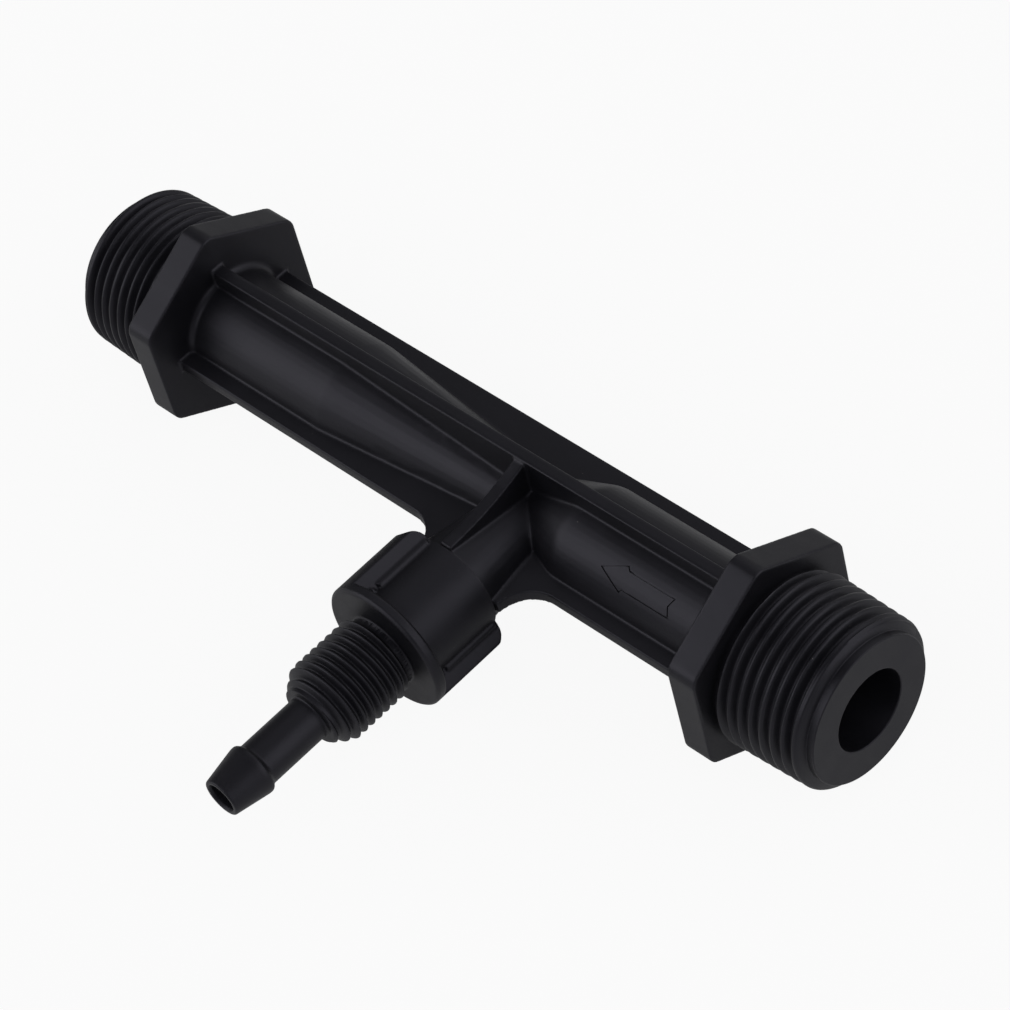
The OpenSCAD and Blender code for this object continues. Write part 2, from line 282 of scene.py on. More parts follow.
class Moulding:
    """A closed mesh in millimetres that is worked on before it takes its place in the scene."""

    crease = math.cos(math.radians(42))
    sliver = 0.0005
    weld_steps = 1000
    smoothing = 0.5

    def __init__(self, name: str, points: np.ndarray, faces: Sequence[Sequence[int]]) -> None:
        """Makes the mesh from its points and faces, with the faces turned outwards."""
        mesh = bpy.data.meshes.new(name)
        mesh.from_pydata(np.asarray(points, float).tolist(), [], [list(map(int, face)) for face in faces])
        form = bmesh.new()
        form.from_mesh(mesh)
        if form.calc_volume(signed=True) < 0:
            bmesh.ops.reverse_faces(form, faces=form.faces)
            form.to_mesh(mesh)
        form.free()
        self.obj = bpy.data.objects.new(name, mesh)
        self.skins: list[Skin] = []
        bpy.context.scene.collection.objects.link(self.obj)

    @classmethod
    def from_node(cls, node: str) -> "Moulding":
        """Copies a solid of the frame, with its split edges closed again.

        Args:
            node: The solid's name.

        Returns:
            A new mesh in millimetres.
        """
        source = frame["nodes"][node].data
        points = read_rows(source.vertices, "co") / MM
        keys = np.round(points * cls.weld_steps).astype(np.int64)
        _, first, place = np.unique(keys, axis=0, return_index=True, return_inverse=True)
        place = place.reshape(-1)
        faces = [[place[v] for v in face.vertices] for face in source.polygons]
        return cls(f"{node}_blank", points[first], [face for face in faces if len(set(face)) > 2])

    @classmethod
    def box(cls, low: Point, high: Point) -> "Moulding":
        """Makes a block between two corners, to cut with."""
        pick = [(x, y, z) for x in (0, 1) for y in (0, 1) for z in (0, 1)]
        points = np.array([[(low, high)[bit][axis] for axis, bit in enumerate(bits)] for bits in pick])
        sides = [(0, 1, 3, 2), (4, 6, 7, 5), (0, 4, 5, 1), (2, 3, 7, 6), (0, 2, 6, 4), (1, 5, 7, 3)]
        return cls("cutting_block", points, sides)

    @classmethod
    def turned(cls, name: str, axis: Axis, corners: Sequence[Corner], columns: int, step: float = 1.0,
               thread: Optional[Thread] = None) -> "Moulding":
        """Turns a closed outline about an axis, with a thread on its outer side if one is given.

        Args:
            name: Name of the mesh.
            axis: The line that it turns about.
            corners: Its outline, from the rear along the outside to the front and back through the bore.
            columns: Number of points in each ring.
            step: Longest piece of a threaded side.
            thread: The thread that cuts into the outside.

        Returns:
            The closed mesh.
        """
        outline = rounded_outline(corners, step)
        angles = np.arange(columns) * TURN / columns
        stations = np.repeat(outline[:, :1], columns, axis=1)
        radii = np.repeat(outline[:, 1:], columns, axis=1)
        wide = np.repeat(angles[None, :], len(outline), axis=0)
        if thread is not None:
            radii = np.minimum(radii, thread.limit(stations, wide))
        points = axis.place(stations, radii, wide).reshape(-1, 3)
        piece = cls(name, points, ring_faces(len(outline), columns))
        piece.skins.append(Skin(piece.obj.data))
        return piece

    def modify(self, kind: str, **settings: Any) -> None:
        """Applies one of Blender's modifiers.

        Args:
            kind: The modifier's type.
            settings: Its values.
        """
        modifier = self.obj.modifiers.new(kind.lower(), kind)
        for key, value in settings.items():
            setattr(modifier, key, value)
        bpy.context.view_layer.update()
        shaped = self.obj.evaluated_get(bpy.context.evaluated_depsgraph_get())
        result = bpy.data.meshes.new_from_object(shaped)
        self.obj.modifiers.clear()
        old, self.obj.data = self.obj.data, result
        bpy.data.meshes.remove(old)

    def combine(self, other: "Moulding", way: Cut) -> None:
        """Cuts another mesh away from this one or joins it on, and removes it.

        Args:
            other: The mesh that is used up.
            way: Whether it is cut away or joined.
        """
        self.modify("BOOLEAN", operation=way.value, solver="MANIFOLD", object=other.obj)
        if way is Cut.JOIN:
            self.skins += other.skins
        spent = other.obj.data
        bpy.data.objects.remove(other.obj)
        bpy.data.meshes.remove(spent)

    def soften(self, voxel: float, passes: int, triangles: int) -> None:
        """Rounds every edge as a mould does, and thins the mesh.

        Args:
            voxel: Size of the grid that the mesh is rebuilt on.
            passes: How often it is smoothed.
            triangles: How many triangles are left.
        """
        self.modify("REMESH", mode="VOXEL", voxel_size=voxel, adaptivity=0.0)
        self.modify("SMOOTH", factor=self.smoothing, iterations=passes)
        self.skins.append(Skin(self.obj.data))
        count = self.triangles()
        if count > triangles:
            self.modify("DECIMATE", ratio=triangles / count)

    def triangles(self) -> int:
        """Counts the mesh's triangles."""
        return sum(len(face.vertices) - 2 for face in self.obj.data.polygons)

    def drop_slivers(self) -> None:
        """Drops the faces without area that cutting can leave, and makes triangles of the others."""
        form = bmesh.new()
        form.from_mesh(self.obj.data)
        bmesh.ops.dissolve_degenerate(form, dist=self.sliver, edges=form.edges)
        bmesh.ops.triangulate(form, faces=form.faces, ngon_method="BEAUTY")
        form.to_mesh(self.obj.data)
        form.free()

    def settle(self, name: str, low: Point, high: Point) -> bpy.types.Object:
        """Brings the mesh to metres, inside a box, with smooth faces that point outwards.

        Args:
            name: The piece's name.
            low: Lowest corner of its solid, in metres.
            high: Highest corner.

        Returns:
            The finished object.
        """
        self.drop_slivers()
        mesh = self.obj.data
        points = read_rows(mesh.vertices, "co")
        normals = read_rows(mesh.vertex_normals, "vector")
        nearest = np.full(len(points), np.inf)
        for skin in self.skins:
            lent, away = skin.lend(points)
            closer = away < nearest
            normals[closer], nearest[closer] = lent[closer], away[closer]
        inside = np.clip(points * MM, np.array(low), np.array(high))
        mesh.vertices.foreach_set("co", inside.reshape(-1))
        mesh.polygons.foreach_set("use_smooth", [True] * len(mesh.polygons))
        mesh.update()
        self.shade(normals)
        self.obj.name = mesh.name = name
        return self.obj

    def shade(self, normals: np.ndarray) -> None:
        """Sets the corners' normals: a face keeps its own at a point whose normal is far from it.

        Args:
            normals: One normal for each point.
        """
        mesh = self.obj.data
        spots = np.zeros(len(mesh.loops), np.int32)
        mesh.loops.foreach_get("vertex_index", spots)
        sizes = np.zeros(len(mesh.polygons), np.int32)
        mesh.polygons.foreach_get("loop_total", sizes)
        flat = np.repeat(read_rows(mesh.polygons, "normal"), sizes, axis=0)
        smooth = normals[spots]
        sharp = np.sum(flat * smooth, axis=1) < self.crease
        mesh.normals_split_custom_set(np.where(sharp[:, None], flat, smooth).tolist())


Value = Union["Signal", float]
Sockets = dict[Union[str, int], Any]


class Signal:
    """An output of a node, whose operators add Math nodes behind it."""

    def __init__(self, graph: "ShaderGraph", socket: bpy.types.NodeSocket) -> None:
        """Keeps the socket with its graph."""
        self.graph = graph
        self.socket = socket

    def __add__(self, other: Value) -> "Signal":
        """Adds a value."""
        return self.graph.math("ADD", self, other)

    def __sub__(self, other: Value) -> "Signal":
        """Takes a value away."""
        return self.graph.math("SUBTRACT", self, other)

    def __rsub__(self, other: Value) -> "Signal":
        """Is taken away from a value."""
        return self.graph.math("SUBTRACT", other, self)

    def __mul__(self, other: Value) -> "Signal":
        """Multiplies by a value."""
        return self.graph.math("MULTIPLY", self, other)

    __radd__ = __add__
    __rmul__ = __mul__

    def swing(self, amount: float) -> "Signal":
        """Swings about zero, for a pattern whose middle is a half."""
        return (self - 0.5) * amount

    def ramp(self, low: float, high: float) -> "Signal":
        """Rises smoothly from 0 at one value to 1 at another."""
        settings = {"interpolation_type": "SMOOTHSTEP"}
        return self.graph.node("ShaderNodeMapRange", settings, {"Value": self, "From Min": low, "From Max": high})


class ShaderGraph:
    """A material's node tree, built one node at a time."""

    cloud_roughness = 0.55

    def __init__(self, name: str) -> None:
        """Starts an empty material."""
        self.material = bpy.data.materials.new(name)
        self.material.use_nodes = True
        self.tree = self.material.node_tree
        self.tree.nodes.clear()

    def add(self, kind: str, settings: dict[str, Any], sockets: Sockets) -> bpy.types.Node:
        """Adds a node.

        Args:
            kind: The node's type.
            settings: Its own values, set before its sockets.
            sockets: Values or signals for its inputs, by name or number.

        Returns:
            The node.
        """
        made = self.tree.nodes.new(kind)
        for key, value in settings.items():
            setattr(made, key, value)
        for key, value in sockets.items():
            if isinstance(value, Signal):
                self.tree.links.new(value.socket, made.inputs[key])
            else:
                made.inputs[key].default_value = value
        return made

    def node(self, kind: str, settings: dict[str, Any], sockets: Sockets, output: Union[str, int] = 0) -> Signal:
        """Adds a node and gives one of its outputs."""
        return Signal(self, self.add(kind, settings, sockets).outputs[output])

    def math(self, operation: str, first: Value, second: Value) -> Signal:
        """Adds a Math node."""
        return self.node("ShaderNodeMath", {"operation": operation}, {0: first, 1: second})

    def mix(self, share: Value, first: Union[Signal, Colour], second: Union[Signal, Colour]) -> Signal:
        """Blends two colours, which are inputs 6 and 7 of the Mix node and its output 2."""
        return self.node("ShaderNodeMix", {"data_type": "RGBA"}, {0: share, 6: first, 7: second}, 2)

    def place(self, stretch: Point = (1, 1, 1)) -> Signal:
        """Gives a point's place on its piece, in metres, stretched along the axes."""
        spot = self.node("ShaderNodeTexCoord", {}, {}, "Object")
        return self.node("ShaderNodeVectorMath", {"operation": "MULTIPLY"}, {0: spot, 1: stretch})

    def noise(self, size: float, detail: float, stretch: Point = (1, 1, 1)) -> Signal:
        """Adds a cloud pattern whose patches have a size in millimetres."""
        sockets = {"Vector": self.place(stretch), "Scale": 1 / (size * MM), "Detail": detail,
                   "Roughness": self.cloud_roughness}
        return self.node("ShaderNodeTexNoise", {}, sockets)

    def bump(self, height: Signal, strength: float, depth: float, under: Optional[Signal] = None) -> Signal:
        """Turns a height into a normal, with its depth in millimetres."""
        sockets = {"Height": height, "Strength": strength, "Distance": depth * MM}
        if under is not None:
            sockets["Normal"] = under
        return self.node("ShaderNodeBump", {}, sockets)

    def close(self, sockets: Sockets) -> bpy.types.Material:
        """Ends the tree in a Principled shader.

        Args:
            sockets: The shader's values and signals.

        Returns:
            The finished material.
        """
        return self.cover(self.node("ShaderNodeBsdfPrincipled", {}, sockets))

    def cover(self, shader: Signal) -> bpy.types.Material:
        """Links a shader to the material's output and gives the material."""
        self.add("ShaderNodeOutputMaterial", {}, {"Surface": shader})
        return self.material


@dataclass(frozen=True)
class SatinMoulding:
    """Black moulded plastic with an eroded grain, flow marks, rubbed edges and a few specks of dust."""

    name: str
    shade: Colour
    bloom: Colour
    rubbed: Colour
    flow: FlowAxis
    roughness: float = 0.42
    specular: float = 0.34
    gloss_tint: Colour = (0.87, 0.85, 1, 1)
    refraction: float = 1.5
    grain_size: float = 0.16
    grain_depth: float = 0.02
    grain_strength: float = 0.35
    grain_swing: float = 0.12
    wave_size: float = 3.4
    wave_depth: float = 0.03
    wave_strength: float = 0.5
    haze_size: float = 9.0
    haze_span: Span = (0.35, 0.7)
    haze_share: float = 0.7
    haze_swing: float = 0.16
    flow_size: float = 5.0
    flow_span: Span = (0.45, 0.7)
    flow_share: float = 0.3
    flow_swing: float = 0.14
    edge_width: float = 0.5
    edge_span: Span = (0.25, 0.75)
    edge_samples: int = 6
    wear_size: float = 1.7
    wear_span: Span = (0.3, 0.65)
    wear_share: float = 0.75
    wear_polish: float = 0.07
    dust: Colour = (0.2, 0.195, 0.19, 1)
    dust_spacing: float = 2.6
    dust_span: Span = (0.012, 0.03)
    dust_patch: float = 7.0
    dust_patch_span: Span = (0.5, 0.62)
    dust_share: float = 0.7
    dust_swing: float = 0.3

    def material(self) -> bpy.types.Material:
        """Builds the finish.

        Returns:
            The material.
        """
        graph = ShaderGraph(self.name)
        grain = graph.noise(self.grain_size, 4)
        waves = graph.noise(self.wave_size, 2)
        haze = graph.noise(self.haze_size, 5)
        flow = graph.noise(self.flow_size, 4, self.flow.value)
        hollow = {"inside": True, "only_local": True, "samples": self.edge_samples}
        depth = graph.node("ShaderNodeAmbientOcclusion", hollow, {"Distance": self.edge_width * MM}, "AO")
        worn = (1 - depth).ramp(*self.edge_span) * graph.noise(self.wear_size, 3).ramp(*self.wear_span)
        cell = {"Vector": graph.place(), "Scale": 1 / (self.dust_spacing * MM), "Randomness": 1.0}
        near = graph.node("ShaderNodeTexVoronoi", {"feature": "F1"}, cell, "Distance")
        speck = (1 - near.ramp(*self.dust_span)) * graph.noise(self.dust_patch, 2).ramp(*self.dust_patch_span)
        cloud = haze.ramp(*self.haze_span) * self.haze_share + flow.ramp(*self.flow_span) * self.flow_share
        base = graph.mix(cloud, self.shade, self.bloom)
        base = graph.mix(worn * self.wear_share, base, self.rubbed)
        base = graph.mix(speck * self.dust_share, base, self.dust)
        rough = self.roughness + haze.swing(self.haze_swing) + flow.swing(self.flow_swing)
        rough = rough + grain.swing(self.grain_swing) - worn * self.wear_polish + speck * self.dust_swing
        waved = graph.bump(waves, self.wave_strength, self.wave_depth)
        normal = graph.bump(grain, self.grain_strength, self.grain_depth, waved)
        return graph.close({"Base Color": base, "Roughness": rough, "Normal": normal, "IOR": self.refraction,
                            "Specular IOR Level": self.specular, "Specular Tint": self.gloss_tint})


@dataclass(frozen=True)
class DullRubber:
    """Black sealing rubber with a fine dull bloom."""

    name: str = "seal_rubber_dull"
    shade: Colour = (0.006, 0.006, 0.007, 1)
    bloom: Colour = (0.022, 0.022, 0.023, 1)
    roughness: float = 0.62
    grain_size: float = 0.12
    grain_depth: float = 0.02
    grain_strength: float = 0.4
    grain_swing: float = 0.1
    patch_size: float = 1.6
    patch_span: Span = (0.4, 0.75)
    patch_swing: float = 0.25

    def material(self) -> bpy.types.Material:
        """Builds the finish."""
        graph = ShaderGraph(self.name)
        grain = graph.noise(self.grain_size, 4)
        patches = graph.noise(self.patch_size, 4)
        base = graph.mix(patches.ramp(*self.patch_span), self.shade, self.bloom)
        rough = self.roughness + patches.swing(self.patch_swing) + grain.swing(self.grain_swing)
        normal = graph.bump(grain, self.grain_strength, self.grain_depth)
        return graph.close({"Base Color": base, "Roughness": rough, "Normal": normal})


@dataclass(frozen=True)
class PolishedBall:
    """Off-white polished plastic of the valve's ball, with faint clouds and tumbling marks."""

    name: str = "ball_plastic_polished"
    shade: Colour = (0.78, 0.745, 0.66, 1)
    bloom: Colour = (0.84, 0.815, 0.75, 1)
    roughness: float = 0.2
    cloud_size: float = 1.8
    cloud_span: Span = (0.35, 0.65)
    cloud_swing: float = 0.12
    mark_size: float = 0.2
    mark_stretch: Point = (1.0, 0.2, 1.0)
    mark_span: Span = (0.6, 0.75)
    mark_dull: float = 0.12
    mark_strength: float = 0.15
    mark_depth: float = 0.01

    def material(self) -> bpy.types.Material:
        """Builds the finish."""
        graph = ShaderGraph(self.name)
        clouds = graph.noise(self.cloud_size, 5)
        marks = graph.noise(self.mark_size, 3, self.mark_stretch)
        base = graph.mix(clouds.ramp(*self.cloud_span), self.shade, self.bloom)
        rough = self.roughness + clouds.swing(self.cloud_swing) + marks.ramp(*self.mark_span) * self.mark_dull
        normal = graph.bump(marks, self.mark_strength, self.mark_depth)
        return graph.close({"Base Color": base, "Roughness": rough, "Normal": normal})


@dataclass(frozen=True)
class DrawnWire:
    """Bright drawn spring wire with fine lines along it and a faint stain."""

    name: str = "spring_steel_drawn"
    shade: Colour = (0.42, 0.425, 0.44, 1)
    bloom: Colour = (0.62, 0.625, 0.635, 1)
    roughness: float = 0.3
    line_size: float = 0.08
    line_stretch: Point = (1.0, 3.0, 1.0)
    line_share: float = 0.2
    line_swing: float = 0.2
    line_strength: float = 0.3
    line_depth: float = 0.01
    stain_size: float = 1.3
    stain_span: Span = (0.35, 0.7)
    stain_share: float = 0.8
    stain_swing: float = 0.15

    def material(self) -> bpy.types.Material:
        """Builds the finish."""
        graph = ShaderGraph(self.name)
        lines = graph.noise(self.line_size, 3, self.line_stretch)
        stain = graph.noise(self.stain_size, 4)
        cloud = stain.ramp(*self.stain_span) * self.stain_share + lines * self.line_share
        base = graph.mix(cloud, self.shade, self.bloom)
        rough = self.roughness + lines.swing(self.line_swing) + stain.swing(self.stain_swing)
        normal = graph.bump(lines, self.line_strength, self.line_depth)
        return graph.close({"Base Color": base, "Metallic": 1.0, "Roughness": rough, "Normal": normal})


@dataclass
class PipeEnd:
    """One male pipe end: neck, tapered thread, lead-in cone, pilot and bore."""

    name: str
    root: float
    out: int
    crest_at: float
    columns: int = 144
    length: float = 16.3
    overlap: float = 1.2
    neck: float = 0.5
    run_out: float = 0.7
    taper: float = 6.0
    lead: float = 0.4
    pilot: float = 1.2
    neck_r: float = 11.9
    thread_r: float = 13.22
    taper_r: float = 12.75
    pilot_r: float = 11.15
    bore_r: float = 6.15
    pitch: float = 1.814
    groove: float = 1.24
    rows: int = 11
    end_drop: float = 0.17
    land_back: float = 0.35
    sunk: float = 0.06
    hidden_wall: float = 2.0
    bore_start: float = 0.1
    bore_step: float = 0.2

    def at(self, distance: float) -> float:
        """Gives the place on the main axis at a distance from the hexagon."""
        return self.root + self.out * distance

    def build(self) -> Moulding:
        """Turns the end with its thread.

        Returns:
            The closed mesh, which reaches a little into the hexagon.
        """
        lead_start = self.length - self.pilot - self.lead
        full = self.neck + self.run_out
        crest = [(self.at(0), self.thread_r), (self.at(lead_start - self.taper), self.thread_r),
                 (self.at(self.length), self.taper_r - self.end_drop)]
        land = self.at(lead_start - self.land_back)
        thread = Thread(self.pitch, self.groove, self.crest_at, tuple(sorted(crest)), land)
        hidden_r = self.bore_r + self.hidden_wall
        corners = [
            Corner(self.at(-self.overlap), self.neck_r - self.sunk),
            Corner(self.at(self.neck), self.neck_r, 0.2, True),
            Corner(self.at(full), self.thread_r, 0.2, True),
            Corner(self.at(lead_start), self.taper_r, 0.15),
            Corner(self.at(lead_start + self.lead), self.pilot_r, 0.12),
            Corner(self.at(self.length), self.pilot_r, 0.2),
            Corner(self.at(self.length), self.bore_r, 0.2),
            Corner(self.at(self.bore_start), self.bore_r),
            Corner(self.at(-self.bore_step), hidden_r),
            Corner(self.at(-self.overlap), hidden_r),
        ]
        return Moulding.turned(self.name, MAIN_AXIS, corners, self.columns, self.pitch / self.rows, thread)


@dataclass
class FlowArrow:
    """The outline of an arrow, moulded as a fine groove into the inlet tube and pointing with the water."""

    tube_r: float = 8.5
    centre: float = 46.8
    tip_x: float = -41.66
    barb_x: float = -37.8
    barb_half: float = 13.0
    shaft_half: float = 9.5
    shaft_x: float = -37.3
    tail_x: float = -29.0
    notch_x: float = -29.55
    width: float = 0.24
    depth: float = 0.2
    proud: float = 0.4
    pieces: int = 8
    least_mitre: float = 0.35

    def outline(self) -> np.ndarray:
        """Gives the arrow's corners as places along the tube and lengths round it."""
        reach = self.tube_r * math.radians(1)
        head, shaft = self.barb_half * reach, self.shaft_half * reach
        corners = [(self.tip_x, 0), (self.barb_x, head), (self.shaft_x, shaft), (self.tail_x, shaft),
                   (self.notch_x, 0), (self.tail_x, -shaft), (self.shaft_x, -shaft), (self.barb_x, -head)]
        return np.array(corners, float)

    def cutter(self) -> Moulding:
        """Builds the solid that cuts the groove.

        Returns:
            A closed ribbon that follows the outline.
        """
        corners = self.outline()
        count = len(corners)
        ahead = np.roll(corners, -1, axis=0) - corners
        normal = np.stack([-ahead[:, 1], ahead[:, 0]], axis=1) / np.linalg.norm(ahead, axis=1)[:, None]
        mitre = normal + np.roll(normal, 1, axis=0)
        mitre /= np.maximum(np.sum(mitre * normal, axis=1), self.least_mitre)[:, None]
        rows: list[np.ndarray] = []
        for k in range(count):
            for j in range(self.pieces):
                share = j / self.pieces
                spot = (1 - share) * corners[k] + share * corners[(k + 1) % count]
                turn = (1 - share) * mitre[k] + share * mitre[(k + 1) % count]
                rows.append(np.stack([spot - turn * self.width / 2, spot + turn * self.width / 2]))
        section = ((0, -self.depth), (0, self.proud), (1, self.proud), (1, -self.depth))
        points = []
        for pair in rows:
            for side, rise in section:
                along, round_by = pair[side]
                angle = math.radians(180 - self.centre) - round_by / self.tube_r
                spot = MAIN_AXIS.place(np.array([along]), np.array([self.tube_r + rise]), np.array([angle]))
                points.append(spot[0])
        return Moulding("flow_arrow", np.array(points), ring_faces(len(rows), len(section)))


@dataclass
class VenturiBody:
    """The main moulding: tube, ribs, hexagons, pipe ends and the branch with its threaded spigot."""

    inlet_face: float = -16.3
    outlet_face: float = -129.1
    hexagon: float = 4.8
    tube_r: float = 8.5
    fillet_along: float = 1.2
    fillet_rise: float = 1.0
    fillet_steps: int = 10
    fillet_sunk: float = 0.6
    fillet_under: float = 1.2
    fillet_press: float = 0.04
    fillet_columns: int = 128
    stub: float = 0.35
    shoulder: float = 16.5
    shoulder_r: float = 7.2
    branch_root_r: float = 4.75
    spigot_r: float = 5.7
    spigot_end: float = 26.3
    spigot_lead: float = 0.6
    spigot_root: float = 1.2
    spigot_neck: float = 0.5
    spigot_start: float = 1.3
    spigot_drop: float = 0.9
    spigot_columns: int = 96
    sleeve_rear: float = 2.0
    sleeve_front: float = 1.5
    sleeve_columns: int = 112
    chamber_r: float = 3.7
    hidden_wall: float = 0.6
    bore_start: float = 0.2
    bore_step: float = 0.5
    screw_pitch: float = 2.0
    screw_depth: float = 0.75
    screw_crest: float = 2.2
    screw_land: float = 0.2
    screw_rows: int = 12
    inlet_crest: float = -10.345
    outlet_crest: float = -138.289
    voxel: float = 0.2
    passes: int = 6
    kept: int = 94000
    far: float = 200.0

    def fillet(self, name: str, face: float, away: int) -> Moulding:
        """Turns the hollow fillet between the tube and a hexagon.

        Args:
            name: Name of the mesh.
            face: Place of the hexagon's inner face.
            away: Which way along the axis the tube leaves it, 1 or -1.

        Returns:
            The closed mesh, which reaches into the hexagon and the tube's wall.
        """
        rear, front = face - away * self.fillet_sunk, face + away * self.fillet_along
        hidden_r = self.tube_r - self.fillet_under
        corners = [Corner(rear, self.tube_r + self.fillet_rise)]
        for k in range(self.fillet_steps + 1):
            turn = TURN / 4 * k / self.fillet_steps
            corners.append(Corner(face + away * self.fillet_along * (1 - math.cos(turn)),
                                  self.tube_r - self.fillet_press + self.fillet_rise * (1 - math.sin(turn))))
        corners += [Corner(front, hidden_r), Corner(rear, hidden_r)]
        return Moulding.turned(name, MAIN_AXIS, corners, self.fillet_columns)

    def longer_branch(self) -> Moulding:
        """Turns a sleeve that carries the branch past its shoulder, so that rounding leaves the shoulder's edge sharp.

        Returns:
            The closed mesh.
        """
        slope = (self.shoulder_r - self.branch_root_r) / self.shoulder
        rear, front = self.shoulder - self.sleeve_rear, self.shoulder + self.sleeve_front
        hidden_r = self.chamber_r + self.hidden_wall
        corners = [Corner(rear, self.branch_root_r + slope * rear), Corner(front, self.branch_root_r + slope * front),
                   Corner(front, hidden_r), Corner(rear, hidden_r)]
        return Moulding.turned("longer_branch", BRANCH_AXIS, corners, self.sleeve_columns)

    def spigot(self) -> Moulding:
        """Turns the spigot with the thread that the cap screws on to.

        Returns:
            The closed mesh, which reaches into the branch's shoulder.
        """
        inside = self.shoulder - self.spigot_root
        neck_r, hidden_r = self.spigot_r - self.spigot_drop, self.chamber_r + self.hidden_wall
        line = ((inside, self.spigot_r), (self.spigot_end, self.spigot_r))
        thread = Thread(self.screw_pitch, self.screw_depth, self.shoulder + self.screw_crest, line,
                        self.shoulder + self.screw_land)
        corners = [
            Corner(inside, neck_r),
            Corner(self.shoulder + self.spigot_neck, neck_r, 0.2, True),
            Corner(self.shoulder + self.spigot_start, self.spigot_r, 0.2, True),
            Corner(self.spigot_end - self.spigot_lead, self.spigot_r, 0.2),
            Corner(self.spigot_end, self.spigot_r - self.spigot_lead, 0.15),
            Corner(self.spigot_end, self.chamber_r, 0.15),
            Corner(self.shoulder - self.bore_start, self.chamber_r),
            Corner(self.shoulder - self.bore_step, hidden_r),
            Corner(inside, hidden_r),
        ]
        step = self.screw_pitch / self.screw_rows
        return Moulding.turned("spigot", BRANCH_AXIS, corners, self.spigot_columns, step, thread)

    def build(self) -> bpy.types.Object:
        """Builds the moulding.

        Returns:
            The finished piece.
        """
        body = Moulding.from_node("injector_body")
        span = self.far
        before = -self.shoulder - self.sleeve_front
        trims = [
            ((self.inlet_face + self.stub, -span, -span), (span, span, span)),
            ((-2 * span, -span, -span), (self.outlet_face - self.stub, span, span)),
            ((-span, -span, -span), (span, before, span)),
        ]
        for low, high in trims:
            body.combine(Moulding.box(low, high), Cut.TAKE_AWAY)
        body.combine(self.longer_branch(), Cut.JOIN)
        body.combine(self.fillet("inlet_fillet", self.inlet_face - self.hexagon, -1), Cut.JOIN)
        body.combine(self.fillet("outlet_fillet", self.outlet_face + self.hexagon, 1), Cut.JOIN)
        body.soften(self.voxel, self.passes, self.kept)
        body.combine(Moulding.box((-span, -span, -span), (span, -self.shoulder, span)), Cut.TAKE_AWAY)
        body.combine(FlowArrow().cutter(), Cut.TAKE_AWAY)
        ends = [PipeEnd("inlet_end", self.inlet_face, 1, self.inlet_crest),
                PipeEnd("outlet_end", self.outlet_face, -1, self.outlet_crest)]
        for end in ends:
            body.combine(end.build(), Cut.JOIN)
        body.combine(self.spigot(), Cut.JOIN)
        piece = body.settle("venturi_body", *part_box("injector_body"))
        LOG.info("venturi body: %d triangles", body.triangles())
        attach(piece, "injector_body")
        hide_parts("injector_body")
        return piece

    def dress(self, piece: bpy.types.Object) -> None:
        """Gives the moulding its finish."""
        finish = SatinMoulding("body_plastic_satin", (0.0031, 0.0031, 0.004, 1), (0.0054, 0.0053, 0.0068, 1),
                               (0.027, 0.0265, 0.03, 1), FlowAxis.ALONG_TUBE)
        piece.data.materials.clear()
        piece.data.materials.append(finish.material())


